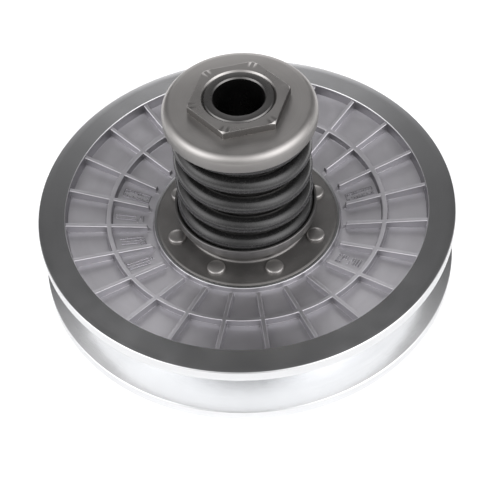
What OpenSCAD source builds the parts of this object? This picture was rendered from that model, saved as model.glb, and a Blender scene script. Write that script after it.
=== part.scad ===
// Spring-loaded variable-speed (CVT) pulley set: two cone discs on a hollow sleeve.
// The lower disc is fixed to the sleeve. The upper disc slides up the sleeve against the spring.
// +Z runs along the bore. Z = 0 is the plane that the lower disc's rim ring rests on.

/* [Discs] */
// Outer diameter of both cone discs
disc_d = 340; // [300:5:400]
// Height of the flat outer edge of each disc
rim_h = 10; // [8:0.5:14]
// Width of the belt groove at the rim with the discs closed
groove_w = 42; // [36:1:50]
// Slope of each belt face, half the groove angle
cone_angle = 13; // [11:0.5:14]
// Height of the casting web at the rim, measured along Z
web_t = 6.5; // [5:0.5:8]
// Height of the casting web at the hub, measured along Z
hub_web_t = 10.6; // [8:0.2:11]
// Radial width of the machined ring at the rim
ring_w = 21.25; // [15:0.25:30]

/* [Ribs] */
// Number of radial ribs on each disc
rib_count = 24; // [18:1:30]
// Height of the ribs above the web at the rim
rib_h = 7; // [4:0.1:7.5]
// Height of the ribs above the web at the hub
hub_rib_h = 5.2; // [3:0.1:6]
// Rib thickness at its top edge
rib_top = 3.5; // [2:0.1:4]
// Rib thickness at the web, wider for draft
rib_foot = 4.5; // [3:0.1:6]
// Radius of the middle of the ring rib
ring_rib_r = 113; // [105:1:120]

/* [Hubs and rivets] */
// Outer diameter of the riveted steel flanges
flange_d = 148; // [140:1:156]
// Thickness of the riveted steel flanges
flange_t = 6; // [5:0.5:8]
// Pitch circle of the rivets
rivet_pcd = 122; // [118:1:126]
// Number of rivets on each disc
rivet_count = 8; // [6:1:12]
// Angle of the first rivet
rivet_angle = 15; // [0:1:44]
// Diameter of a rivet head
rivet_head_d = 14.8; // [12:0.2:16]
// Outer diameter of the guide neck inside the spring
neck_d = 80; // [78:0.5:81]

/* [Sleeve] */
// Bore for the machine's shaft
bore_d = 40; // [35:1:42]
// Outside of the sleeve, where the upper disc slides
sleeve_d = 60; // [58:0.5:61]
// Nominal thread diameter at the top of the sleeve
thread_d = 55; // [52:0.5:56]
// Travel of the upper disc from closed to fully open
travel = 28; // [10:1:30]

/* [Spring] */
// Wire diameter
wire_d = 13.5; // [12:0.1:14]
// Mean coil diameter
coil_d = 96.5; // [94.5:0.5:97]
// Total turns, including one closed turn at each end
coil_turns = 5.5; // [5:0.1:6]
// Angle of the wire's lower end, measured about +Z
coil_start = 178; // [0:1:359]

/* [Retainer and nut] */
// Outer diameter of the spring retainer
retainer_d = 120; // [116:1:130]
// Height of the retainer from its lip to its top face
retainer_h = 14.3; // [12:0.1:18]
// Radius of the retainer's rounded shoulder
shoulder_r = 7; // [3:0.5:9]
// Across-flats width of the nut
nut_af = 70; // [68:1:74]
// Height of the nut's hexagon
nut_h = 7; // [6:0.5:10]
// Angle that the nut is tightened to
nut_angle = 6.5; // [0:0.5:60]

/* [Hidden] */
$fn = 120;

disc_r = disc_d / 2;
total_w = 2 * rim_h + groove_w;      // both discs together, closed
mid_z = total_w / 2;                 // middle plane of the belt groove
hub_gap = 0.6;                       // gap between the two discs' inner faces when closed
press_gap = 0.02;                    // radial gap drawn at a press fit
slide_gap = 0.05;                    // radial running clearance on the sleeve
face_z = mid_z + hub_gap / 2;        // inner face of the moving disc
slope = tan(cone_angle);
face_r = disc_r - (groove_w - hub_gap) / 2 / slope;  // where the belt face starts
ring_r = disc_r - ring_w;            // inner edge of the machined ring
rim_bevel = 1.2;

flange_r = flange_d / 2;
seat_z = face_z + 9.3;               // seat of the steel flange in the casting
flange_top = seat_z + flange_t;
spigot_r = 50;                       // hub spigot through the casting
lip_w = 2.4;                         // machined lip around the flange
lip_foot = 3.6;                      // how far the lip spreads at the web
lip_drop = 0.8;                      // lip's top below the flange's top
rib_end_r = flange_r + 8;            // where the radial ribs stop

sleeve_r = sleeve_d / 2;
bore_r = bore_d / 2;
thread_r = thread_d / 2;
sleeve_z = 2;                        // lower end of the sleeve and the fixed hub
neck_r = neck_d / 2;
recess_z = 164;                      // floor of the retainer's recess that holds the spring
neck_top = recess_z - travel - 12;   // leaves 12 mm over the guide neck with the groove fully open
neck_shoulder_z = 59.3;              // shoulder that carries the spring seat

seat_floor = 3;
seat_r = 57.7;
seat_lip_w = 2;
seat_top = 68;
coil_r = coil_d / 2;
wire_r = wire_d / 2;
spring_z0 = neck_shoulder_z + seat_floor;            // spring's lower end face
washer_t = 1.6;
retainer_z = 161.1;                                  // retainer's lower edge
retainer_top = retainer_z + retainer_h;
spring_z1 = recess_z - washer_t;                     // spring's upper end face
nut_top = retainer_top + nut_h;
nut_spigot_h = 7;
nut_spigot_r = 33;

key_w = 10;
key_z0 = 66;
key_z1 = 116;
key_depth = 4;                       // key seat in the sleeve
key_top_r = 36;                      // outer face of the keys
key_angles = [90, 270];
key_screw_z = [76, 106];
screw_r = 2.5;
screw_head_r = 4.2;
screw_head_h = 3.5;
key_screw_len = key_top_r - sleeve_r + key_depth + 2;   // from the screw's tip to inside its head
keyway_w = 12;                       // keyway in the bore for the machine's shaft
keyway_r = 23.3;
keyway_len = 60;
dowel_r = 4;
dowel_len = 22;
dowel_angles = [60, 180, 300];

wiper_h = 4.6;
lower_bush_z = [36.5, 66];
upper_bush_z = [90, 118.4];
bush_r = 34;
upper_wiper_r = 37;
lower_wiper_r = 35;
hub_bore_r = 31.5;                   // hub between the two bushes

// How far radius r is from the ribs' inner ends, at 0, to the machined ring, at 1
function out_share(r) = (r - rib_end_r) / (ring_r - rib_end_r);
// Height of the web's back surface at radius r
function web_z(r) = face_z + (r - face_r) * slope + hub_web_t + (web_t - hub_web_t) * out_share(r);
// Height of the rib tops at radius r
function rib_z(r) = web_z(r) + hub_rib_h + (rib_h - hub_rib_h) * out_share(r);

// A solid ring between two radii and two heights
module ring(r0, r1, z0, z1) {
    translate([0, 0, z0])
        difference() {
            cylinder(r = r1, h = z1 - z0);
            translate([0, 0, -1]) cylinder(r = r0, h = z1 - z0 + 2);
        }
}

// Copies its children n times round the axis
module round_copies(n, start = 0) {
    for (i = [0 : n - 1]) rotate([0, 0, start + i * 360 / n]) children();
}

// Turns the moving disc's parts over to make the fixed disc's parts
module mirrored() {
    translate([0, 0, total_w]) mirror([0, 0, 1]) children();
}

// ---- Cast cone discs ----

// Cross-section of the casting without its ribs
module casting_profile() {
    polygon([
        [spigot_r, face_z], [face_r, face_z],
        [disc_r - rim_bevel, total_w - rim_h], [disc_r, total_w - rim_h + rim_bevel],
        [disc_r, total_w - rim_bevel], [disc_r - rim_bevel, total_w],
        [ring_r, total_w], [ring_r - 1.5, web_z(ring_r)],
        [flange_r + lip_w + lip_foot, web_z(flange_r + lip_w + lip_foot)],
        [flange_r + lip_w, flange_top - lip_drop], [flange_r + press_gap, flange_top - lip_drop],
        [flange_r + press_gap, seat_z], [spigot_r, seat_z]
    ]);
}

// The space the ribs may fill: from inside the web up to the rib tops
module rib_envelope() {
    rotate_extrude()
        polygon([
            [rib_end_r, web_z(rib_end_r) - 2], [ring_r + 1, web_z(ring_r) - 2],
            [ring_r + 1, rib_z(ring_r + 1)], [rib_end_r + 3, rib_z(rib_end_r + 3)],
            [rib_end_r, web_z(rib_end_r) + 2]
        ]);
}

// One radial rib with drafted sides, as tall as the whole disc
module radial_rib() {
    low = web_z(rib_end_r) - 2;
    foot = rib_foot / 2;
    top = rib_top / 2;
    rotate([90, 0, 90])
        linear_extrude(height = ring_r + 1)
            polygon([[-foot, low], [foot, low], [top, total_w], [-top, total_w]]);
}

// The ring rib half-way out, with drafted sides
module ring_rib() {
    foot = rib_foot / 2;
    top = rib_top / 2;
    z0 = web_z(ring_rib_r);
    rotate_extrude()
        polygon([
            [ring_rib_r - foot, z0 - 2], [ring_rib_r + foot, z0 - 2],
            [ring_rib_r + top, rib_z(ring_rib_r)], [ring_rib_r - top, rib_z(ring_rib_r)]
        ]);
}

module rivet_holes() {
    round_copies(rivet_count, rivet_angle)
        translate([rivet_pcd / 2, 0, 0]) {
            translate([0, 0, face_z - 1]) cylinder(r = 5, h = flange_top);
            translate([0, 0, face_z - 0.01]) cylinder(r1 = 7.51, r2 = 5, h = 2.51);
        }
}

module sheave_casting() {
    difference() {
        union() {
            rotate_extrude() casting_profile();
            intersection() {
                rib_envelope();
                round_copies(rib_count) radial_rib();
            }
            ring_rib();
        }
        rivet_holes();
    }
}

module moving_sheave() {
    color("gainsboro") sheave_casting();
}

module fixed_sheave() {
    color("gainsboro") mirrored() sheave_casting();
}

// ---- Riveted steel hubs ----

module moving_hub() {
    color("dimgray")
        difference() {
            rotate_extrude()
                polygon([
                    [lower_wiper_r, face_z], [spigot_r - press_gap, face_z], [spigot_r - press_gap, seat_z],
                    [flange_r, seat_z], [flange_r, flange_top - 0.8], [flange_r - 0.8, flange_top],
                    [spigot_r + 2, flange_top], [spigot_r, flange_top + 2],
                    [spigot_r, neck_shoulder_z], [neck_r, neck_shoulder_z],
                    [neck_r, neck_top - 2], [neck_r - 1, neck_top], [upper_wiper_r, neck_top],
                    [upper_wiper_r, neck_top - wiper_h - 1], [bush_r, neck_top - wiper_h - 1],
                    [bush_r, upper_bush_z[0]], [hub_bore_r, upper_bush_z[0]],
                    [hub_bore_r, lower_bush_z[1]], [bush_r, lower_bush_z[1]],
                    [bush_r, lower_bush_z[0]], [lower_wiper_r, lower_bush_z[0]]
                ]);
            rivet_holes();
            key_slots(lower_bush_z[0], neck_top + 1);
        }
}

module fixed_hub() {
    color("dimgray")
        difference() {
            rotate_extrude()
                polygon([
                    [sleeve_r, sleeve_z + 1], [sleeve_r + 1, sleeve_z],
                    [46, sleeve_z], [48, sleeve_z + 2], [48, total_w - flange_top - 2],
                    [50, total_w - flange_top], [flange_r - 0.8, total_w - flange_top],
                    [flange_r, total_w - flange_top + 0.8], [flange_r, total_w - seat_z],
                    [spigot_r - press_gap, total_w - seat_z], [spigot_r - press_gap, total_w - face_z],
                    [46.2, total_w - face_z], [46.2, 27.7], [37.8, 27.7], [37.8, total_w - face_z],
                    [sleeve_r, total_w - face_z]
                ]);
            mirrored() rivet_holes();
            dowel_holes();
        }
}

// One set of rivets: flat heads over the flange, countersunk tails in the casting
module rivet_set() {
    head_r = rivet_head_d / 2;
    head_h = 3;
    shank_r = 4.93;
    round_copies(rivet_count, rivet_angle)
        translate([rivet_pcd / 2, 0, 0])
            rotate_extrude($fn = 48)
                polygon([
                    [0, face_z], [shank_r + 2.5, face_z], [shank_r, face_z + 2.5], [shank_r, flange_top],
                    [head_r, flange_top], [head_r, flange_top + head_h - 1],
                    [head_r - 1, flange_top + head_h], [0, flange_top + head_h]
                ]);
}

module moving_rivets() {
    color("slategray") rivet_set();
}

module fixed_rivets() {
    color("slategray") mirrored() rivet_set();
}

// ---- Sleeve and torque drive ----

module dowel_holes() {
    for (a = dowel_angles)
        rotate([0, 0, a])
            translate([sleeve_r, 0, sleeve_z - 1]) cylinder(r = dowel_r, h = dowel_len + 1.2, $fn = 48);
}

// Slots for the drive keys, cut through the hub's and the bushes' bores
module key_slots(z0, z1) {
    clearance = 0.06;
    for (a = key_angles)
        rotate([0, 0, a])
            translate([sleeve_r - 2, -key_w / 2 - clearance, z0])
                cube([key_top_r + 0.3 - sleeve_r + 2, key_w + 2 * clearance, z1 - z0]);
}

module sleeve() {
    color("darkgray")
        difference() {
            rotate_extrude()
                polygon([
                    [bore_r + 1, sleeve_z], [sleeve_r - 1, sleeve_z], [sleeve_r - press_gap, sleeve_z + 1],
                    [sleeve_r - press_gap, recess_z], [thread_r, recess_z],
                    [thread_r, nut_top - 1.2], [thread_r - 1.2, nut_top],
                    [bore_r + 2, nut_top], [bore_r, nut_top - 2], [bore_r, sleeve_z + 1]
                ]);
            for (a = key_angles)
                rotate([0, 0, a]) {
                    translate([sleeve_r - key_depth, -key_w / 2 - press_gap, key_z0 - press_gap])
                        cube([key_depth + 1, key_w + 2 * press_gap, key_z1 - key_z0 + 2 * press_gap]);
                    for (z = key_screw_z)
                        translate([sleeve_r - key_depth - 4.5, 0, z])
                            rotate([0, 90, 0]) cylinder(r = screw_r + press_gap, h = 6, $fn = 32);
                }
            translate([0, -keyway_w / 2, sleeve_z - 1])
                cube([keyway_r, keyway_w, keyway_len + 1]);
            dowel_holes();
        }
}

module hub_dowels() {
    color("silver")
        for (a = dowel_angles)
            rotate([0, 0, a])
                translate([sleeve_r, 0, sleeve_z])
                    cylinder(r = dowel_r - press_gap, h = dowel_len, $fn = 48);
}

module drive_keys() {
    bevel = 0.5;
    color("lightslategray")
        for (a = key_angles)
            rotate([0, 0, a])
                difference() {
                    translate([0, 0, key_z0])
                        linear_extrude(height = key_z1 - key_z0)
                            polygon([
                                [sleeve_r - key_depth, -key_w / 2], [key_top_r - bevel, -key_w / 2],
                                [key_top_r, -key_w / 2 + bevel], [key_top_r, key_w / 2 - bevel],
                                [key_top_r - bevel, key_w / 2], [sleeve_r - key_depth, key_w / 2]
                            ]);
                    for (z = key_screw_z)
                        translate([0, 0, z])
                            rotate([0, 90, 0]) {
                                cylinder(r = screw_r + 0.3, h = key_top_r + 1, $fn = 32);
                                translate([0, 0, key_top_r - screw_head_h - 0.5])
                                    cylinder(r = screw_head_r + 0.3, h = screw_head_h + 2, $fn = 32);
                            }
                }
}

module key_screws() {
    color("black")
        for (a = key_angles, z = key_screw_z)
            rotate([0, 0, a])
                translate([0, 0, z])
                    rotate([0, 90, 0])
                        difference() {
                            union() {
                                translate([0, 0, sleeve_r - key_depth - 4])
                                    cylinder(r = screw_r, h = key_screw_len, $fn = 32);
                                translate([0, 0, key_top_r - screw_head_h - 0.5])
                                    cylinder(r = screw_head_r, h = screw_head_h, $fn = 32);
                            }
                            translate([0, 0, key_top_r - 2.5]) cylinder(r = 2.2, h = 3, $fn = 6);
                        }
}

module stop_ring() {
    color("black") ring(38, 46, 27.72, face_z - 0.02);
}

// ---- Bushes and wipers in the moving hub ----

// A bush split into two half shells by the drive keys' slots
module bush(span) {
    difference() {
        ring(sleeve_r + slide_gap, bush_r - press_gap, span[0] + 0.05, span[1] - 0.05);
        key_slots(span[0] - 1, span[1] + 1);
    }
}

module lower_bush() {
    color("goldenrod") bush(lower_bush_z);
}

module upper_bush() {
    color("goldenrod") bush(upper_bush_z);
}

module lower_wiper() {
    color("black")
        ring(sleeve_r + slide_gap, lower_wiper_r - press_gap, face_z + 0.3, face_z + 0.3 + wiper_h);
}

module upper_wiper() {
    color("black")
        ring(sleeve_r + slide_gap, upper_wiper_r - press_gap, neck_top - wiper_h - 0.5, neck_top - 0.5);
}

// ---- Spring and what holds it ----

module spring_seat() {
    color("gray")
        rotate_extrude()
            polygon([
                [neck_r + 0.1, neck_shoulder_z], [seat_r - 1, neck_shoulder_z], [seat_r, neck_shoulder_z + 1],
                [seat_r, seat_top - 0.6], [seat_r - 0.6, seat_top], [seat_r - seat_lip_w + 0.4, seat_top],
                [seat_r - seat_lip_w, seat_top - 0.4], [seat_r - seat_lip_w, spring_z0],
                [neck_r + 0.1, spring_z0]
            ]);
}

// Height of the wire's centre after a number of turns: one closed turn at each end, even pitch between
function wire_z(turns) =
    let (
        active = coil_turns - 2,
        rise = (spring_z1 - spring_z0) + wire_d / 2 - 2 * wire_d,
        pitch = rise / active,
        start = spring_z0 - wire_d / 4
    )
    turns < 1 ? start + wire_d * turns
    : turns < coil_turns - 1 ? start + wire_d + pitch * (turns - 1)
    : start + wire_d + rise + wire_d * (turns - coil_turns + 1);

// Left-hand coil swept along its own centreline, before its ends are ground flat
module raw_coil(steps_per_turn = 40, sides = 14) {
    count = round(coil_turns * steps_per_turn);
    points = [
        for (i = [0 : count], j = [0 : sides - 1])
            let (
                turns = coil_turns * i / count,
                a = coil_start - 360 * turns,
                b = 360 * j / sides,
                r = coil_r + wire_r * cos(b)
            )
            [r * cos(a), r * sin(a), wire_z(turns) + wire_r * sin(b)]
    ];
    walls = [
        for (i = [0 : count - 1], j = [0 : sides - 1])
            let (k = (j + 1) % sides)
            [i * sides + j, i * sides + k, (i + 1) * sides + k, (i + 1) * sides + j]
    ];
    ends = [[for (j = [0 : sides - 1]) sides - 1 - j], [for (j = [0 : sides - 1]) count * sides + j]];
    polyhedron(points, concat(walls, ends));
}

module spring() {
    color("#1c1c1e")
        intersection() {
            raw_coil();
            translate([0, 0, spring_z0 + 0.05])
                cylinder(r = coil_r + wire_r + 1, h = spring_z1 - spring_z0 - 0.1);
        }
}

module slip_washer() {
    color("ivory") ring(42, 55.4, spring_z1, recess_z);
}

module spring_retainer() {
    retainer_r = retainer_d / 2;
    recess_r = 56.2;
    lip_bevel = 0.8;
    arc_steps = 12;
    color("rosybrown")
        rotate_extrude()
            polygon(concat(
                [
                    [thread_r + slide_gap, recess_z], [recess_r, recess_z], [recess_r, retainer_z],
                    [retainer_r - lip_bevel, retainer_z], [retainer_r, retainer_z + lip_bevel]
                ],
                [
                    for (i = [0 : arc_steps])
                        let (a = 90 * i / arc_steps)
                        [
                            retainer_r - shoulder_r + shoulder_r * cos(a),
                            retainer_top - shoulder_r + shoulder_r * sin(a)
                        ]
                ],
                [
                    [nut_spigot_r + slide_gap, retainer_top],
                    [nut_spigot_r + slide_gap, retainer_top - nut_spigot_h],
                    [thread_r + slide_gap, retainer_top - nut_spigot_h]
                ]
            ));
}

module lock_screw_axis() {
    rotate([0, 0, nut_angle + 90])
        translate([thread_r + 0.3, 0, retainer_top + nut_h / 2])
            rotate([0, 90, 0]) children();
}

module retainer_nut() {
    corner_r = nut_af / 2 / cos(30);
    bevel_h = 1.2;
    color("gray")
        difference() {
            intersection() {
                union() {
                    translate([0, 0, retainer_top])
                        rotate([0, 0, nut_angle]) cylinder(r = corner_r, h = nut_h, $fn = 6);
                    translate([0, 0, retainer_top - nut_spigot_h + 0.02])
                        cylinder(r = nut_spigot_r, h = nut_spigot_h);
                }
                rotate_extrude()
                    polygon([
                        [0, retainer_top - nut_spigot_h], [corner_r + 1, retainer_top - nut_spigot_h],
                        [corner_r + 1, nut_top - bevel_h - 0.4], [corner_r - 1.6, nut_top], [0, nut_top]
                    ]);
            }
            translate([0, 0, recess_z]) cylinder(r = thread_r + slide_gap, h = nut_top);
            translate([0, 0, nut_top - bevel_h])
                cylinder(r1 = thread_r + slide_gap, r2 = thread_r + 1.4, h = bevel_h + 0.01);
            lock_screw_axis() cylinder(r = 2.02, h = 20, $fn = 32);
        }
}

module nut_lock_screw() {
    color("black")
        lock_screw_axis()
            difference() {
                cylinder(r = 2, h = 6.4, $fn = 32);
                translate([0, 0, 4.4]) cylinder(r = 1.1, h = 3, $fn = 6);
            }
}

fixed_sheave();
fixed_hub();
fixed_rivets();
sleeve();
hub_dowels();
drive_keys();
key_screws();
stop_ring();
moving_sheave();
moving_hub();
moving_rivets();
lower_bush();
upper_bush();
lower_wiper();
upper_wiper();
spring_seat();
spring();
slip_washer();
spring_retainer();
retainer_nut();
nut_lock_screw();
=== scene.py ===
"""Looks of the variable-speed pulley set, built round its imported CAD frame.

Profiles are drawn in millimetres, as (radius, height) round the bore's axis.
mesh_piece() turns them into metres.
"""
import math
import random

import bpy
import numpy as np
from mathutils import Matrix, Vector


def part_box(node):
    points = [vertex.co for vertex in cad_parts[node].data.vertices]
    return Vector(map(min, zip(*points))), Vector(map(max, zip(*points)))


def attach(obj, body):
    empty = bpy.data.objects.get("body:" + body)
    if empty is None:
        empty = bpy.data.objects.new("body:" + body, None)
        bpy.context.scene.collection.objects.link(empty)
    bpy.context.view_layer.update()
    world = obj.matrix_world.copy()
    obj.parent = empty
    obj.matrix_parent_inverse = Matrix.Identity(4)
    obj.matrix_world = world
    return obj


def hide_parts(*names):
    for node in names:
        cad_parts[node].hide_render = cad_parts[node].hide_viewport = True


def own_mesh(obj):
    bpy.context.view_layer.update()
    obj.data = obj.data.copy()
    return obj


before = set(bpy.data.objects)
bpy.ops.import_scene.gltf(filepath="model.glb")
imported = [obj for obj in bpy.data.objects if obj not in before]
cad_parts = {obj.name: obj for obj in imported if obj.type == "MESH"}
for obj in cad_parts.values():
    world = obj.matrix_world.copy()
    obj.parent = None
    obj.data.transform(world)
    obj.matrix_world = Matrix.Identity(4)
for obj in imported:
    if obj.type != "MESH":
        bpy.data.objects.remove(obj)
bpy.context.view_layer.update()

MM = 0.001
DRIVE, SLIDE = "drive_half", "sliding_half"


def span(node):
    """Lowest and highest corner of a CAD node, in millimetres."""
    low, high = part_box(node)
    return [x / MM for x in low], [x / MM for x in high]


# ---- Sizes, from the frame where it gives them ----
DISC_R = span("moving_sheave")[1][0]
TOTAL_Z = span("moving_sheave")[1][2]
FACE_Z = span("moving_sheave")[0][2]
FLANGE_R = span("moving_hub")[1][0]
RIVET_HEAD_Z = span("moving_rivets")[1][2]
RIVET_HEAD_H = 3.0
FLANGE_Z = RIVET_HEAD_Z - RIVET_HEAD_H
SEAT_Z0, SEAT_Z1 = span("spring_seat")[0][2], span("spring_seat")[1][2]
SEAT_R = span("spring_seat")[1][0]
SPRING_Z0, SPRING_Z1 = span("spring")[0][2] - 0.05, span("spring")[1][2] + 0.05
RETAINER_R = span("spring_retainer")[1][0]
RETAINER_Z0, RETAINER_Z1 = span("spring_retainer")[0][2], span("spring_retainer")[1][2]
NUT_Z1 = span("retainer_nut")[1][2]
SLEEVE_Z0 = span("sleeve")[0][2]
NECK_Z1 = span("moving_hub")[1][2]

RIM_H = 10.0
RIM_BEVEL = 1.2
RING_R = DISC_R - 21.25            # inner edge of the machined ring
CONE_SLOPE = math.tan(math.radians(13))
FACE_R = DISC_R - (TOTAL_Z - 2 * RIM_H - 0.6) / 2 / CONE_SLOPE
SPIGOT_R = 50.0
RECESS_Z = 164.0                   # top of the retainer's recess, and of the sleeve's full width
SEAT_DEPTH_Z = FLANGE_Z - 6.0      # underside of the steel flange
LIP_R = FLANGE_R + 2.4
LIP_Z = FLANGE_Z - 0.8
RIB_COUNT = 24
RIB_HALF = 1.8                     # half the ribs' thickness
RIB_END_R = FLANGE_R + 8
RING_RIB_R = 113.0
RING_RIB_HALF = 2.05
RING_BREAK = 0.35                  # broken inner edge of the machined ring
KEYWAY_R, KEYWAY_HALF, KEYWAY_LENGTH = 23.3, 6.0, 60.0
DOWEL_ANGLES, DOWEL_HOLE_R, DOWEL_HOLE_DEPTH = (60, 180, 300), 4.02, 23.2
RIVET_COUNT, RIVET_START, RIVET_R = 8, 15.0, 61.0
BORE_R, THREAD_R, SLIDE_R = 20.0, 27.5, 30.0
NUT_AF, NUT_ANGLE = 70.0, 6.5
WIRE_D, COIL_R, COIL_TURNS, COIL_START = 13.5, 48.25, 5.5, 178.0


# ---- Mesh helpers ----

def mesh_piece(name, points_mm, faces, sharp_deg=35):
    """A mesh object from points in millimetres, smooth except across sharp edges."""
    mesh = bpy.data.meshes.new(name)
    mesh.from_pydata((np.asarray(points_mm, float) * MM).tolist(), [], [list(f) for f in faces])
    mesh.validate()
    piece = bpy.data.objects.new(name, mesh)
    bpy.context.scene.collection.objects.link(piece)
    finish_shading(piece, sharp_deg)
    return piece


def finish_shading(piece, sharp_deg=35):
    """Smooth shading that keeps edges sharper than sharp_deg."""
    mesh = piece.data
    mesh.polygons.foreach_set("use_smooth", [True] * len(mesh.polygons))
    mesh.set_sharp_from_angle(angle=math.radians(sharp_deg))
    mesh.update()


def rounded(corners, steps=5):
    """A closed outline from (r, z) or (r, z, radius) corners, with its corners turned into arcs."""
    outline = []
    count = len(corners)
    for i, corner in enumerate(corners):
        here = np.array(corner[:2], float)
        radius = corner[2] if len(corner) > 2 else 0
        if not radius:
            outline.append(here)
            continue
        before = np.array(corners[i - 1][:2], float) - here
        after = np.array(corners[(i + 1) % count][:2], float) - here
        before, after = before / np.linalg.norm(before), after / np.linalg.norm(after)
        half = math.acos(max(-1.0, min(1.0, before @ after))) / 2
        bisector = (before + after) / np.linalg.norm(before + after)
        centre = here + bisector * radius / math.sin(half)
        start = here + before * radius / math.tan(half) - centre
        end = here + after * radius / math.tan(half) - centre
        sweep = math.atan2(start[0] * end[1] - start[1] * end[0], start @ end)
        for k in range(steps + 1):
            a = sweep * k / steps
            turn = np.array([[math.cos(a), -math.sin(a)], [math.sin(a), math.cos(a)]])
            outline.append(centre + turn @ start)
    return np.array(outline)


def grid_faces(rows, columns, close_rows):
    """Quads over a grid of points whose columns close round the axis."""
    r, c = np.meshgrid(np.arange(rows if close_rows else rows - 1), np.arange(columns), indexing="ij")
    up, on = (r + 1) % rows, (c + 1) % columns
    quads = np.stack([r * columns + c, r * columns + on, up * columns + on, up * columns + c], -1)
    return quads.reshape(-1, 4)


def lathe(name, outline, steps):
    """A ring turned from a closed (r, z) outline that is anticlockwise with r to the right and z up."""
    outline = np.asarray(outline, float)
    a = np.linspace(0, 2 * math.pi, steps, endpoint=False)
    r, z = outline[:, 0][:, None], outline[:, 1][:, None]
    points = np.stack([r * np.cos(a), r * np.sin(a), z + 0 * a], -1).reshape(-1, 3)
    return mesh_piece(name, points, grid_faces(len(outline), steps, True))


def plug(name, outline, centre, steps=48):
    """A solid of revolution whose open (r, z) outline starts and ends on its own axis, from the top down."""
    outline = np.asarray(outline, float)
    a = np.linspace(0, 2 * math.pi, steps, endpoint=False)
    r, z = outline[1:-1, 0][:, None], outline[1:-1, 1][:, None]
    rings = np.stack([centre[0] + r * np.cos(a), centre[1] + r * np.sin(a), z + 0 * a], -1).reshape(-1, 3)
    count = len(outline) - 2
    top, bottom = len(rings), len(rings) + 1
    points = np.vstack([rings, [[*centre, outline[0, 1]], [*centre, outline[-1, 1]]]])
    faces = [list(f[::-1]) for f in grid_faces(count, steps, False)]
    faces += [[top, j, (j + 1) % steps] for j in range(steps)]
    last = (count - 1) * steps
    faces += [[bottom, last + (j + 1) % steps, last + j] for j in range(steps)]
    return mesh_piece(name, points, faces)


def prism(name, corners, z0, z1):
    """A straight solid between two heights from an anticlockwise (x, y) outline."""
    n = len(corners)
    points = [[x, y, z0] for x, y in corners] + [[x, y, z1] for x, y in corners]
    faces = [list(range(n))[::-1], list(range(n, 2 * n))]
    faces += [[i, (i + 1) % n, n + (i + 1) % n, n + i] for i in range(n)]
    return mesh_piece(name, points, faces)


def join(name, pieces):
    """Several pieces as one mesh object."""
    parts = list(pieces)
    bpy.ops.object.select_all(action="DESELECT")
    for p in parts:
        p.select_set(True)
    bpy.context.view_layer.objects.active = parts[0]
    bpy.ops.object.join()
    parts[0].name = name
    parts[0].data.name = name
    return parts[0]


def cut_away(piece, tool):
    """Cuts one closed piece with another, and removes the tool."""
    modifier = piece.modifiers.new("cut", "BOOLEAN")
    modifier.object = tool
    modifier.operation = "DIFFERENCE"
    modifier.solver = "MANIFOLD"
    graph = bpy.context.evaluated_depsgraph_get()
    result = bpy.data.meshes.new_from_object(piece.evaluated_get(graph))
    piece.modifiers.clear()
    piece.data = result
    bpy.data.objects.remove(tool)
    finish_shading(piece)
    return piece


def flip_over(piece):
    """Mirrors a piece of the upper disc into the same piece of the lower disc."""
    piece.data.transform(Matrix(((1, 0, 0, 0), (0, 1, 0, 0), (0, 0, -1, TOTAL_Z * MM), (0, 0, 0, 1))))
    piece.data.flip_normals()
    return piece


# ---- Shader helpers ----

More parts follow.
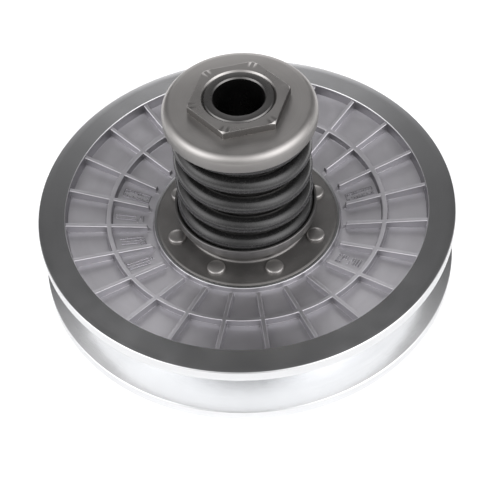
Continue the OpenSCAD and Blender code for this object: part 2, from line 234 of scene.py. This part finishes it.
class Shader:
    """A node material round one Principled shader, with short calls for the patterns that metals need."""

    def __init__(self, name, **values):
        self.material = bpy.data.materials.new(name)
        self.material.use_nodes = True
        self.tree = self.material.node_tree
        self.principled = self.tree.nodes["Principled BSDF"]
        for socket, value in values.items():
            self.principled.inputs[socket.replace("_", " ")].default_value = value
        self.coords = self.node("ShaderNodeTexCoord").outputs["Object"]

    def node(self, kind, **settings):
        made = self.tree.nodes.new(kind)
        for key, value in settings.items():
            setattr(made, key, value)
        return made

    def feed(self, made, values):
        for key, value in values.items():
            socket = made.inputs[key]
            if isinstance(value, bpy.types.NodeSocket):
                self.tree.links.new(value, socket)
            else:
                socket.default_value = value
        return made

    def math(self, operation, a, b=0.0, clamp=False):
        made = self.node("ShaderNodeMath", operation=operation, use_clamp=clamp)
        self.feed(made, {0: a, 1: b})
        return made.outputs[0]

    def noise(self, scale, detail=3.0, rough=0.55, coords=None, distortion=0.0):
        made = self.node("ShaderNodeTexNoise")
        self.feed(made, {"Vector": coords or self.coords, "Scale": scale, "Detail": detail,
                         "Roughness": rough, "Distortion": distortion})
        return made.outputs["Fac"]

    def range(self, value, low, high, to_low, to_high):
        made = self.node("ShaderNodeMapRange")
        self.feed(made, {"Value": value, "From Min": low, "From Max": high,
                         "To Min": to_low, "To Max": to_high})
        return made.outputs["Result"]

    def mix(self, factor, a, b):
        made = self.node("ShaderNodeMix", data_type="RGBA")
        self.feed(made, {"Factor": factor, 6: a, 7: b})
        return made.outputs[2]

    def polar(self, swirl=0.0):
        """Coordinates (radius, small share of the angle, height) for marks left by turning."""
        split = self.node("ShaderNodeSeparateXYZ")
        self.feed(split, {0: self.coords})
        x, y, z = split.outputs
        radius = self.math("SQRT", self.math("ADD", self.math("MULTIPLY", x, x), self.math("MULTIPLY", y, y)))
        along_x = self.math("DIVIDE", x, radius)
        along_y = self.math("DIVIDE", y, radius)
        joined = self.node("ShaderNodeCombineXYZ")
        height = self.math("ADD", z, self.math("MULTIPLY", along_x, swirl))
        self.feed(joined, {0: radius, 1: self.math("MULTIPLY", along_y, swirl), 2: height})
        return joined.outputs[0]

    def edge(self, radius_mm):
        """1 on edges and 0 on flats, from the difference between true and rounded normals."""
        bevel = self.node("ShaderNodeBevel", samples=4)
        bevel.inputs["Radius"].default_value = radius_mm * MM
        geometry = self.node("ShaderNodeNewGeometry")
        dot = self.node("ShaderNodeVectorMath", operation="DOT_PRODUCT")
        self.feed(dot, {0: bevel.outputs[0], 1: geometry.outputs["Normal"]})
        return self.range(dot.outputs["Value"], 0.995, 0.80, 0.0, 1.0)

    def upright(self):
        """0 on level surfaces and 1 on upright ones."""
        split = self.node("ShaderNodeSeparateXYZ")
        self.feed(split, {0: self.node("ShaderNodeNewGeometry").outputs["Normal"]})
        return self.range(self.math("ABSOLUTE", split.outputs[2]), 0.75, 0.35, 0.0, 1.0)

    def nook(self, reach_mm):
        """1 deep in inner corners and 0 on open surfaces."""
        shade = self.node("ShaderNodeAmbientOcclusion", samples=4)
        shade.inputs["Distance"].default_value = reach_mm * MM
        return self.range(shade.outputs["AO"], 0.75, 0.35, 0.0, 1.0)

    def tangent(self):
        """Turning marks run round the bore's axis."""
        made = self.node("ShaderNodeTangent", direction_type="RADIAL", axis="Z")
        self.tree.links.new(made.outputs[0], self.principled.inputs["Tangent"])

    def bump(self, *layers):
        """Stacks (height, distance in mm) layers of bump."""
        normal = None
        for height, depth_mm in layers:
            made = self.node("ShaderNodeBump")
            self.feed(made, {"Height": height, "Distance": depth_mm * MM, "Strength": 1.0})
            if normal:
                self.tree.links.new(normal, made.inputs["Normal"])
            normal = made.outputs[0]
        self.tree.links.new(normal, self.principled.inputs["Normal"])

    def set(self, **links):
        for socket, value in links.items():
            self.feed(self.principled, {socket.replace("_", " "): value})
        return self.material


def tint(grey, warm=0.0):
    """A linear grey, warmer above 0 and cooler below."""
    return (grey * (1 + warm), grey, grey * (1 - warm), 1.0)


def pale(grey):
    """Aluminium's colour, with a faint violet cast."""
    return (grey, grey * 0.985, grey * 1.03, 1.0)


def cast_skin():
    s = Shader("cast_aluminium_skin", Metallic=1.0)
    clouds = s.noise(30, 4, distortion=0.6)
    flow = s.noise(60, 3, coords=s.polar(0.03), distortion=0.4)
    grain = s.noise(1300, 3)
    colour = s.mix(clouds, pale(0.66), pale(0.82))
    colour = s.mix(s.range(flow, 0.45, 0.7, 0.0, 0.35), colour, pale(0.60))
    # Painted shade: upright rib walls and deep inner corners are darkened towards a near-black grey.
    dark = s.math("MAXIMUM", s.math("MULTIPLY", s.upright(), 0.6), s.math("MULTIPLY", s.nook(3.0), 0.75))
    colour = s.mix(dark, colour, pale(0.13))
    # Painted highlight: rounded edges are lightened towards near white and made glossier.
    edge = s.edge(0.5)
    colour = s.mix(edge, colour, pale(0.95))
    s.bump((grain, 0.006), (flow, 0.06))
    rough = s.math("SUBTRACT", s.range(clouds, 0.3, 0.7, 0.45, 0.53), s.math("MULTIPLY", edge, 0.24))
    return s.set(Base_Color=colour, Roughness=rough)


def turned_metal(name, dark, light, rough, warm=0.0, lines=2600, depth=0.008, anisotropy=0.6, edge_wear_and_highlight=0.9,
                 sides=0.0):
    """Lathe-finished metal: fine rings, slow cloudy tone, edges brightened as rubbed wear and painted
    highlight, upright sides darkened as painted shade.
    """
    s = Shader(name, Metallic=1.0, Anisotropic=anisotropy, Anisotropic_Rotation=0.25)
    s.tangent()
    rings = s.noise(lines, 2, coords=s.polar(0.0004))
    clouds = s.noise(30, 4)
    colour = s.mix(clouds, tint(dark, warm), tint(light, warm))
    colour = s.mix(s.range(rings, 0.35, 0.65, 0.0, 0.12), colour, tint(dark * 0.8, warm))
    # Painted shade: upright surfaces are darkened towards near black, by the share given as sides.
    colour = s.mix(s.math("MULTIPLY", s.upright(), sides), colour, tint(0.03, warm))
    # Edges brightened: partly rubbed wear, partly painted highlight.
    colour = s.mix(s.math("MULTIPLY", s.edge(0.5), edge_wear_and_highlight), colour, tint(min(0.95, light * 1.5), warm))
    s.bump((rings, depth))
    return s.set(Base_Color=colour, Roughness=s.range(clouds, 0.3, 0.7, rough * 0.85, rough * 1.15))


def dark_steel(name, grey=0.20, rough=0.34, warm=0.03):
    """Steel with a dark oxide skin, brightened along its edges as rubbed wear and painted highlight."""
    s = Shader(name, Metallic=0.85)
    clouds = s.noise(45, 5)
    grain = s.noise(900, 3)
    rings = s.noise(1500, 2, coords=s.polar(0.0006))
    colour = s.mix(clouds, tint(grey * 0.8, warm), tint(grey * 1.3, warm))
    colour = s.mix(s.range(grain, 0.6, 0.8, 0.0, 0.4), colour, tint(grey * 2.0, warm))
    # Edges brightened: partly rubbed wear through the oxide, partly painted highlight.
    colour = s.mix(s.math("MULTIPLY", s.edge(0.45), 0.75), colour, tint(0.55, warm))
    s.bump((grain, 0.02), (rings, 0.012))
    return s.set(Base_Color=colour, Roughness=s.range(clouds, 0.3, 0.7, rough * 0.85, rough * 1.2))


def gloss_black():
    """Spring paint: black gloss with a faint ripple and rubbed spots."""
    s = Shader("spring_black_paint", Coat_Weight=0.5, Coat_Roughness=0.08, Specular_IOR_Level=0.4)
    ripple = s.noise(55, 2)
    dust = s.noise(500, 4)
    colour = s.mix(s.range(dust, 0.5, 0.8, 0.0, 0.5), tint(0.016, 0.0), tint(0.05, 0.02))
    s.bump((ripple, 0.08), (dust, 0.002))
    return s.set(Base_Color=colour, Roughness=s.range(ripple, 0.3, 0.7, 0.2, 0.3))


def moulded(name, colour, rough):
    """Rubber or plastic with a fine grain."""
    s = Shader(name)
    grain = s.noise(1100, 3)
    clouds = s.noise(60, 3)
    dark = tuple(c * 0.7 for c in colour) + (1.0,)
    s.bump((grain, 0.02))
    return s.set(Base_Color=s.mix(clouds, dark, tuple(colour) + (1.0,)),
                 Roughness=s.range(grain, 0.3, 0.7, rough * 0.9, rough * 1.1))


def floor_material():
    """Plain pale floor that stays white under the object."""
    s = Shader("floor_white", Roughness=0.9, Emission_Strength=0.45, Specular_IOR_Level=0.1)
    tone = s.noise(2.0, 2)
    colour = s.mix(tone, tint(0.93), tint(0.96))
    return s.set(Base_Color=colour, Emission_Color=colour)


# ---- Cone discs ----

def web_height(r):
    """Height of the floor of the cells between the ribs."""
    share = (r - RIB_END_R) / (RING_R - RIB_END_R)
    return FACE_Z + (r - FACE_R) * CONE_SLOPE + 10.6 + (6.5 - 10.6) * share


def side_drop(distance, half_width, edge=0.85, steep=12.0):
    """How far a rib's surface lies below its top: flat, then a rounded edge, then a steep drafted side."""
    x = np.maximum(distance - (half_width - edge), 0)
    arc = edge - np.sqrt(np.maximum(edge ** 2 - np.minimum(x, edge) ** 2, 0))
    return arc + np.maximum(x - edge, 0) * steep


def blend_up(a, b, size=2.2):
    """The higher of two heights, with a small fillet where they meet."""
    near = np.maximum(size - np.abs(a - b), 0) / size
    return np.maximum(a, b) + near ** 2 * size / 4


def disc_back(r, offset):
    """Height of the casting's ribbed back at radius r, at an arc distance from the nearest rib's middle."""
    web = web_height(r)
    tops = web + 5.2 + (7.0 - 5.2) * (r - RIB_END_R) / (RING_R - RIB_END_R)
    radial = tops - side_drop(np.abs(offset), RIB_HALF) - side_drop(RIB_END_R + 1 - r, 0.85)
    ring_rib = tops - side_drop(np.abs(r - RING_RIB_R), RING_RIB_HALF)
    lip = LIP_Z - side_drop(r - LIP_R, 0.4, 0.8, 4.0)
    rim_wall = TOTAL_Z - RING_BREAK - side_drop(RING_R - 0.5 - r, 0.4, 0.4, 9.0)
    height = blend_up(web, np.maximum(radial, ring_rib))
    return np.minimum(blend_up(blend_up(height, lip, 1.5), rim_wall, 1.5), TOTAL_Z)


def sheave(name):
    """The casting as one closed grid: rows follow the cross-section, columns follow the ribs."""
    outward = np.array([-0.85, -0.6, -0.4, -0.22, -0.08, 0.0, 0.12, 0.26, 0.4, 0.54, 0.7, 1.1])
    near = np.concatenate([[0, 0.5], RIB_HALF + outward])
    around = np.concatenate([[0, 0.6], RING_RIB_HALF + outward])
    between = np.array([0.3, 0.65, 1.0])
    back_r = np.unique(np.round(np.concatenate([
        LIP_R + np.array([0, 0.3, 0.6, 0.9, 1.2, 1.5, 1.8, 2.2, 2.8, 3.4]),
        RIB_END_R + 1 - outward[1:], [RIB_END_R + 3],
        np.arange(RIB_END_R + 5, RING_RIB_R - 5, 4.0),
        RING_RIB_R + np.concatenate([-around[::-1], around[1:]]),
        np.arange(RING_RIB_R + 7, RING_R - 5, 4.0),
        RING_R - np.array([4.0, 3.2, 2.5, 2.0, 1.7, 1.5, 1.3, 1.15, 1.0, 0.8, 0.6, 0.5])]), 3))
    before = [(SPIGOT_R, FACE_Z), (SPIGOT_R, SEAT_DEPTH_Z), (FLANGE_R + 0.05, SEAT_DEPTH_Z),
              (FLANGE_R + 0.05, LIP_Z - 0.4), (FLANGE_R + 0.45, LIP_Z), (LIP_R - 0.5, LIP_Z)]
    rim = rounded([(RING_R, TOTAL_Z), (DISC_R, TOTAL_Z, RIM_BEVEL), (DISC_R, TOTAL_Z - RIM_H, RIM_BEVEL),
                   (FACE_R, FACE_Z, 3), (SPIGOT_R, FACE_Z)])
    rim = np.vstack([[(RING_R + RING_BREAK - 0.5, TOTAL_Z), (RING_R + 8, TOTAL_Z), (RING_R + 15, TOTAL_Z)],
                     rim[1:-1]])
    sector = 2 * math.pi / RIB_COUNT
    rows = []
    for row_r, row_z in [*before, *[(r, None) for r in back_r], *rim]:
        half = sector / 2
        edge = math.asin(near[-1] / row_r)
        side = np.concatenate([np.arcsin(near / row_r), edge + (half - edge) * between])
        one = np.concatenate([-side[::-1][1:-1], side[0:1], side[1:]])
        angles = (np.arange(RIB_COUNT)[:, None] * sector + one[None, :]).ravel()
        offset = np.tile(row_r * np.sin(one), RIB_COUNT)
        z = disc_back(np.full_like(offset, row_r), offset) if row_z is None else np.full_like(offset, row_z)
        rows.append(np.stack([row_r * np.cos(angles), row_r * np.sin(angles), z], -1))
    grid = np.array(rows)
    faces = grid_faces(grid.shape[0], grid.shape[1], True)[:, ::-1]
    piece = mesh_piece(name, grid.reshape(-1, 3), faces, 40)
    first_cast, last_cast = len(before), len(before) + len(back_r) - 1
    row_of = np.repeat(np.arange(grid.shape[0]), grid.shape[1])
    piece.data.materials.append(MATERIALS["machined"])
    piece.data.materials.append(MATERIALS["cast"])
    cast = ((row_of >= first_cast) & (row_of < last_cast)).astype(int)
    piece.data.polygons.foreach_set("material_index", cast.tolist())
    return piece


def raised_bar(middle_deg, r0, r1, side0, side1, height=1.0):
    """Points and faces of a low tapered bar on a cell's floor, between two radii and two side offsets."""
    taper = min(0.22, (side1 - side0) * 0.3, (r1 - r0) * 0.3)
    points = []
    for inset, lift in ((0, -0.6), (0, 0.05), (taper, height)):
        for r, side in ((r0 + inset, side0 + inset), (r1 - inset, side0 + inset),
                        (r1 - inset, side1 - inset), (r0 + inset, side1 - inset)):
            a = math.radians(middle_deg) + side / r
            points.append((r * math.cos(a), r * math.sin(a), web_height(r) + lift))
    faces = [(3, 2, 1, 0), (8, 9, 10, 11)]
    faces += [(k + i, k + (i + 1) % 4, k + 4 + (i + 1) % 4, k + 4 + i) for k in (0, 4) for i in range(4)]
    return points, faces


def casting_marks(name):
    """Plain raised bars, pips and frames in some cells, as a foundry leaves them, with no letters."""
    rng = random.Random(7)
    bars = []

    def frame_round(mid, r0, r1, side0, side1):
        w = 0.7
        bars.extend([(mid, r0, r1, side0, side0 + w), (mid, r0, r1, side1 - w, side1),
                     (mid, r0, r0 + w, side0, side1), (mid, r1 - w, r1, side0, side1)])

    def pips(mid, r0, r1, side0, side1, pitch, width, odd):
        r = r0
        while r < r1 - width:
            low, high = side0, side1
            cut = rng.choice((0, 0, 1, 2)) if odd else 0
            if cut == 1:
                high = side0 + (side1 - side0) * 0.45
            elif cut == 2:
                low = side0 + (side1 - side0) * 0.55
            bars.append((mid, r, r + width, low, high))
            r += pitch * rng.uniform(0.85, 1.15)

    for mid, turn in ((7.5, 1), (157.5, -1)):
        frame_round(mid, 84.5, 107.5, -5.2 - turn, 3.2 - turn)
        for row in (-3.9, 0.1):
            pips(mid, 86.2, 106.6, row - turn, row + 2.4 - turn, 2.1, 0.95, True)
    frame_round(-37.5, 85.5, 90.0, -4.6, 3.6)
    pips(-37.5, 91.2, 106.0, -4.4, 3.2, 2.3, 0.85, True)
    for side in (-4.2, -1.4, 1.4):
        bars.append((187.5, 86.0, 107.0 - rng.uniform(0, 3), side, side + 1.0))
    frame_round(187.5, 85.5, 90.0, -1.9, 4.4)
    for side in (-3.2, 0.6):
        bars.append((172.5, 92.0, 108.0, side, side + 0.9))
    pips(172.5, 85.5, 92.0, -3.4, 3.4, 2.2, 0.8, True)
    for side in (-3.8, -1.0, 1.8):
        bars.append((202.5, 90.0, 108.5, side, side + 0.8))
    pips(202.5, 85.5, 90.0, -3.6, 2.6, 2.0, 0.8, True)
    points, faces = [], []
    for bar in bars:
        some, more = raised_bar(*bar)
        faces += [tuple(i + len(points) for i in face) for face in more]
        points += some
    return mesh_piece(name, points, faces, 30)


# ---- Spring ----

def wire_height(turns):
    """Height of the wire's middle: one closed turn at each end and an even pitch between."""
    active = COIL_TURNS - 2
    rise = SPRING_Z1 - SPRING_Z0 + WIRE_D / 2 - 2 * WIRE_D
    start = SPRING_Z0 - WIRE_D / 4
    middle = start + WIRE_D + rise * (turns - 1) / active
    top = start + WIRE_D + rise + WIRE_D * (turns - COIL_TURNS + 1)
    return np.where(turns < 1, start + WIRE_D * turns, np.where(turns < COIL_TURNS - 1, middle, top))


def spring(name, per_turn=96, sides=28):
    """Left-hand coil with closed, ground ends."""
    turns = np.linspace(0, COIL_TURNS, round(COIL_TURNS * per_turn) + 1)
    smooth = np.array([wire_height(turns + shift) for shift in np.linspace(-0.06, 0.06, 9)]).mean(0)
    a = np.radians(COIL_START - 360 * turns)[:, None]
    b = np.linspace(0, 2 * math.pi, sides, endpoint=False)[None, :]
    r = COIL_R + WIRE_D / 2 * np.cos(b)
    z = smooth[:, None] + WIRE_D / 2 * np.sin(b)
    z = np.clip(z, SPRING_Z0 + 0.05, SPRING_Z1 - 0.05)
    points = np.stack([r * np.cos(a), r * np.sin(a), z + 0 * a], -1).reshape(-1, 3)
    rings = len(turns)
    faces = [list(f) for f in grid_faces(rings, sides, False)]
    faces += [list(range(sides))[::-1], [(rings - 1) * sides + j for j in range(sides)]]
    return mesh_piece(name, points, faces, 50)


# ---- Nut ----

def nut(name):
    """Hexagon with a turned chamfer across its corners and a spigot that sits in the retainer."""
    steps = 240
    a = np.linspace(0, 2 * math.pi, steps, endpoint=False)
    folded = (np.degrees(a) + 30) % 60 - 30
    flat_r = NUT_AF / 2 / np.cos(np.radians(folded))
    angle = a + math.radians(NUT_ANGLE + 30)
    chamfer_r, chamfer = NUT_AF / 2 + 3.4, math.tan(math.radians(32))

    def ring(r, z):
        r = np.broadcast_to(r, a.shape)
        return np.stack([r * np.cos(angle), r * np.sin(angle), np.broadcast_to(z, a.shape)], -1)

    def crown(r):
        return NUT_Z1 - np.maximum(r - chamfer_r, 0) * chamfer

    inner = THREAD_R + 0.05
    rows = [ring(inner, RETAINER_Z1 - 7), ring(33, RETAINER_Z1 - 7), ring(33, RETAINER_Z1),
            ring(flat_r - 0.3, RETAINER_Z1), ring(flat_r, RETAINER_Z1 + 0.3)]
    rows += [ring(flat_r, crown(flat_r) - 0.35), ring(flat_r - 0.12, crown(flat_r) - 0.1),
             ring(flat_r - 0.35, crown(flat_r - 0.35))]
    rows += [ring(np.minimum(flat_r - 0.5, chamfer_r), NUT_Z1), ring(32, NUT_Z1),
             ring(inner + 1.3, NUT_Z1), ring(inner, NUT_Z1 - 1.3)]
    return mesh_piece(name, np.vstack(rows), grid_faces(len(rows), steps, True), 30)


# ---- Build ----

MATERIALS = {
    "machined": turned_metal("machined_aluminium", 0.78, 0.90, 0.16, -0.01, lines=2200, depth=0.0003,
                             anisotropy=0.90, edge_wear_and_highlight=0.4, sides=0.2),
    "cast": cast_skin(),
    "hub": dark_steel("hub_dark_steel", 0.21, 0.38),
    "rivet": dark_steel("rivet_dark_steel", 0.36, 0.34),
    "sleeve": turned_metal("sleeve_ground_steel", 0.12, 0.20, 0.28, 0.02, lines=1800, anisotropy=0.4),
    "seat": turned_metal("seat_steel", 0.17, 0.25, 0.36, 0.02),
    "retainer": turned_metal("retainer_steel", 0.42, 0.56, 0.40, 0.03, lines=1500, depth=0.002,
                             anisotropy=0.3, sides=0.5),
    "nut": turned_metal("nut_steel", 0.38, 0.48, 0.28, 0.03, lines=1700, depth=0.002, anisotropy=0.3,
                        sides=0.75),
    "key": turned_metal("key_ground_steel", 0.40, 0.55, 0.25, 0.0, anisotropy=0.0),
    "fastener": dark_steel("black_oxide_fastener", 0.04, 0.4, 0.0),
    "bronze": turned_metal("bush_bronze_metal", 0.45, 0.6, 0.3, 0.30),
    "spring": gloss_black(),
    "rubber": moulded("wiper_nitrile", (0.03, 0.03, 0.03), 0.6),
    "stop": moulded("stop_polyurethane", (0.05, 0.05, 0.06), 0.45),
    "nylon": moulded("slip_nylon_natural", (0.72, 0.70, 0.62), 0.4),
}


def place(piece, material, body, slot, *nodes):
    """Gives a new piece its material and its body, and hides the CAD nodes that it stands for; the slot
    argument is not used.
    """
    if material:
        piece.data.materials.clear()
        piece.data.materials.append(MATERIALS[material])
    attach(piece, body)
    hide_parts(*nodes)
    return piece


def rivet_circle():
    for i in range(RIVET_COUNT):
        a = math.radians(RIVET_START + i * 360 / RIVET_COUNT)
        yield RIVET_R * math.cos(a), RIVET_R * math.sin(a)


def rivets(name):
    head_r = 7.4
    outline = [(0, RIVET_HEAD_Z), (head_r * 0.5, RIVET_HEAD_Z - 0.05), (head_r - 1.3, RIVET_HEAD_Z - 0.25),
               (head_r - 0.6, RIVET_HEAD_Z - 0.6), (head_r - 0.15, RIVET_HEAD_Z - 1.2),
               (head_r, RIVET_HEAD_Z - 1.9), (head_r, FLANGE_Z), (4.98, FLANGE_Z), (4.98, FACE_Z + 2.5),
               (7.45, FACE_Z), (0, FACE_Z)]
    return join(name, [plug(f"{name}_{i}", outline, centre) for i, centre in enumerate(rivet_circle())])


def build_discs():
    upper = sheave("moving_sheave_casting")
    lower = upper.copy()
    lower.data = upper.data.copy()
    lower.name = lower.data.name = "fixed_sheave_casting"
    bpy.context.scene.collection.objects.link(lower)
    flip_over(lower)
    marks = casting_marks("casting_marks")
    marks.data.materials.append(MATERIALS["cast"])
    upper = join("moving_sheave_casting", [upper, marks])
    place(upper, None, SLIDE, "cast_aluminium", "moving_sheave")
    place(lower, None, DRIVE, "cast_aluminium", "fixed_sheave")


def build_moving_hub():
    outline = rounded([
        (35, FACE_Z), (SPIGOT_R - 0.02, FACE_Z, 0.6), (SPIGOT_R - 0.02, SEAT_DEPTH_Z),
        (FLANGE_R, SEAT_DEPTH_Z), (FLANGE_R, FLANGE_Z - 0.6, 0.2), (FLANGE_R - 1.5, FLANGE_Z, 0.3),
        (SPIGOT_R, FLANGE_Z, 2.5),
        (SPIGOT_R, SEAT_Z0, 0.3), (40, SEAT_Z0, 0.3), (40, NECK_Z1, 1.0), (37, NECK_Z1, 0.4),
        (37, NECK_Z1 - 5.6), (34, NECK_Z1 - 5.6), (34, 90), (31.5, 90), (31.5, 66), (34, 66),
        (34, 36.5), (35, 36.5)])
    place(lathe("moving_hub_turned", outline, 256), "hub", SLIDE, "hub_steel", "moving_hub")
    place(rivets("moving_rivets_formed"), "rivet", SLIDE, "rivet_steel", "moving_rivets")


def drill_for_dowels(piece):
    """Half of each dowel's hole lies in the sleeve and half in the hub."""
    z0, z1 = SLEEVE_Z0 - 1, SLEEVE_Z0 + DOWEL_HOLE_DEPTH
    outline = [(0, z1), (DOWEL_HOLE_R, z1), (DOWEL_HOLE_R, z0), (0, z0)]
    for degrees in DOWEL_ANGLES:
        a = math.radians(degrees)
        centre = (SLIDE_R * math.cos(a), SLIDE_R * math.sin(a))
        cut_away(piece, plug("drill", outline, centre))


def build_fixed_hub():
    z = TOTAL_Z
    outline = rounded([
        (31, SLEEVE_Z0), (48, SLEEVE_Z0, 1.5), (48, z - FLANGE_Z, 2.0),
        (FLANGE_R - 1.5, z - FLANGE_Z, 0.3), (FLANGE_R, z - FLANGE_Z + 0.6, 0.2),
        (FLANGE_R, z - SEAT_DEPTH_Z), (SPIGOT_R - 0.02, z - SEAT_DEPTH_Z), (SPIGOT_R - 0.02, z - FACE_Z, 0.6),
        (46.2, z - FACE_Z, 0.4), (46.2, 27.7), (37.8, 27.7), (37.8, z - FACE_Z, 0.4),
        (SLIDE_R, z - FACE_Z), (SLIDE_R, SLEEVE_Z0 + 1)])
    hub = lathe("fixed_hub_turned", outline, 256)
    drill_for_dowels(hub)
    place(hub, "hub", DRIVE, "hub_steel", "fixed_hub")
    place(flip_over(rivets("fixed_rivets_formed")), "rivet", DRIVE, "rivet_steel", "fixed_rivets")


def build_spring_stack():
    seat = rounded([
        (40.1, SEAT_Z0, 0.3), (SEAT_R, SEAT_Z0, 0.8), (SEAT_R, SEAT_Z1, 0.7), (SEAT_R - 2, SEAT_Z1, 0.5),
        (SEAT_R - 2, SPRING_Z0, 1.0), (40.1, SPRING_Z0, 0.5)])
    place(lathe("spring_seat_cup", seat, 224), "seat", SLIDE, "seat_steel", "spring_seat")
    retainer = rounded([
        (THREAD_R + 0.05, RECESS_Z), (56.2, RECESS_Z, 0.8), (56.2, RETAINER_Z0, 0.5),
        (RETAINER_R, RETAINER_Z0, 0.8), (RETAINER_R, RETAINER_Z1, 7.0),
        (33.05, RETAINER_Z1, 0.4), (33.05, RETAINER_Z1 - 7),
        (THREAD_R + 0.05, RETAINER_Z1 - 7)], steps=12)
    turned = lathe("spring_retainer_turned", retainer, 256)
    place(turned, "retainer", DRIVE, "retainer_steel", "spring_retainer")
    place(nut("retainer_nut_hexagon"), "nut", DRIVE, "nut_steel", "retainer_nut")
    coil = spring("spring_coil")
    coil.data.materials.append(MATERIALS["spring"])
    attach(coil, DRIVE)
    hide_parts("spring")
    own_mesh(coil)


def build_sleeve():
    outline = rounded([
        (BORE_R, SLEEVE_Z0, 1.0), (SLIDE_R - 0.02, SLEEVE_Z0, 1.0),
        (SLIDE_R - 0.02, RECESS_Z, 0.6), (THREAD_R, RECESS_Z),
        (THREAD_R, NUT_Z1 - 1.1, 0.2), (THREAD_R - 1.1, NUT_Z1 - 0.02, 0.2),
        (BORE_R + 1.1, NUT_Z1 - 0.02, 0.3),
        (BORE_R, NUT_Z1 - 1.1, 0.3)])
    sleeve = lathe("sleeve_turned", outline, 224)
    keyway = [(0, -KEYWAY_HALF), (KEYWAY_R, -KEYWAY_HALF), (KEYWAY_R, KEYWAY_HALF), (0, KEYWAY_HALF)]
    cut_away(sleeve, prism("keyway", keyway, SLEEVE_Z0 - 1, SLEEVE_Z0 + KEYWAY_LENGTH))
    drill_for_dowels(sleeve)
    place(sleeve, "sleeve", DRIVE, "sleeve_steel", "sleeve")


def dress_cad_nodes():
    """Inner pieces whose CAD shape is right keep it, and get finished materials."""
    finishes = {
        "hub_dowels": "key", "drive_keys": "key", "key_screws": "fastener", "stop_ring": "stop",
        "lower_bush": "bronze", "upper_bush": "bronze", "lower_wiper": "rubber", "upper_wiper": "rubber",
        "slip_washer": "nylon", "nut_lock_screw": "fastener",
    }
    for node, finish in finishes.items():
        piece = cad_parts[node]
        piece.data.materials.clear()
        piece.data.materials.append(MATERIALS[finish])


# ---- Camera, floor and light ----

def build_camera():
    """Looks down by 48 degrees from the -Y side."""
    distance, elevation, azimuth = 1.2220, 48.10, -3.5
    yaw, pitch, roll = 0.323, -1.411, -3.910
    target = Vector((0, 0, TOTAL_Z * MM))
    e = math.radians(elevation)
    back = Vector((0, -math.cos(e), math.sin(e)))
    right = Vector((1, 0, 0))
    up = back.cross(right)
    aim = Matrix.Rotation(math.radians(yaw), 3, up) @ Matrix.Rotation(math.radians(pitch), 3, right)
    roll_by = Matrix.Rotation(math.radians(roll), 3, aim @ back)
    axes = [roll_by @ aim @ v for v in (right, up, back)]
    basis = Matrix.Rotation(math.radians(azimuth), 3, "Z") @ Matrix(axes).transposed()
    data = bpy.data.cameras.new("camera")
    data.lens, data.sensor_width = 112.39, 36.0
    data.clip_start, data.clip_end = 0.05, 50
    camera = bpy.data.objects.new("camera", data)
    place_at = target + Matrix.Rotation(math.radians(azimuth), 3, "Z") @ back * distance
    camera.matrix_world = Matrix.Translation(place_at) @ basis.to_4x4()
    bpy.context.scene.collection.objects.link(camera)
    bpy.context.scene.camera = camera


def build_floor():
    floor = mesh_piece("floor", [(-6000, -6000, 0), (6000, -6000, 0), (6000, 6000, 0), (-6000, 6000, 0)],
                       [(0, 1, 2, 3)])
    floor.location.z = -0.0002
    floor.data.materials.append(floor_material())


def build_studio():
    """A dark studio with a low pale horizon, and soft panels to the left, to the right and behind."""
    world = bpy.data.worlds.new("studio")
    bpy.context.scene.world = world
    world.use_nodes = True
    tree = world.node_tree
    direction = tree.nodes.new("ShaderNodeTexCoord").outputs["Generated"]

    def node(kind, operation, *values):
        made = tree.nodes.new(kind)
        made.operation = operation
        for socket, value in zip(made.inputs, values):
            if isinstance(value, bpy.types.NodeSocket):
                tree.links.new(value, socket)
            else:
                socket.default_value = value
        return made.outputs["Value"]

    def fall(distance, width, strength, floor_level):
        power = node("ShaderNodeMath", "MULTIPLY", distance, -1 / width)
        bright = node("ShaderNodeMath", "MULTIPLY", node("ShaderNodeMath", "EXPONENT", power), strength)
        return node("ShaderNodeMath", "ADD", bright, floor_level)

    flat = node("ShaderNodeVectorMath", "DOT_PRODUCT", direction, (0, 0, 1))
    total = fall(node("ShaderNodeMath", "MULTIPLY", flat, flat), 0.25 ** 2, 0.33, 0.012)
    for azimuth, elevation, spread, strength in (
            (198.4, 35.4, 21.8, 2.7), (321.3, 34.1, 24.2, 2.9), (86.3, 22.0, 10.5, 1.9)):
        a, e, s = math.radians(azimuth), math.radians(elevation), math.radians(spread)
        towards = (math.cos(e) * math.cos(a), math.cos(e) * math.sin(a), math.sin(e))
        away = node("ShaderNodeMath", "SUBTRACT", 1.0,
                    node("ShaderNodeVectorMath", "DOT_PRODUCT", direction, towards))
        total = node("ShaderNodeMath", "ADD", total, fall(away, s * s, strength, 0.0))
    background = tree.nodes["Background"]
    tree.links.new(total, background.inputs["Strength"])
    background.inputs["Color"].default_value = (1.0, 0.99, 1.0, 1.0)
    bpy.context.scene.view_settings.view_transform = "Standard"


build_camera()
build_discs()
build_moving_hub()
build_fixed_hub()
build_sleeve()
build_spring_stack()
dress_cad_nodes()
build_floor()
build_studio()
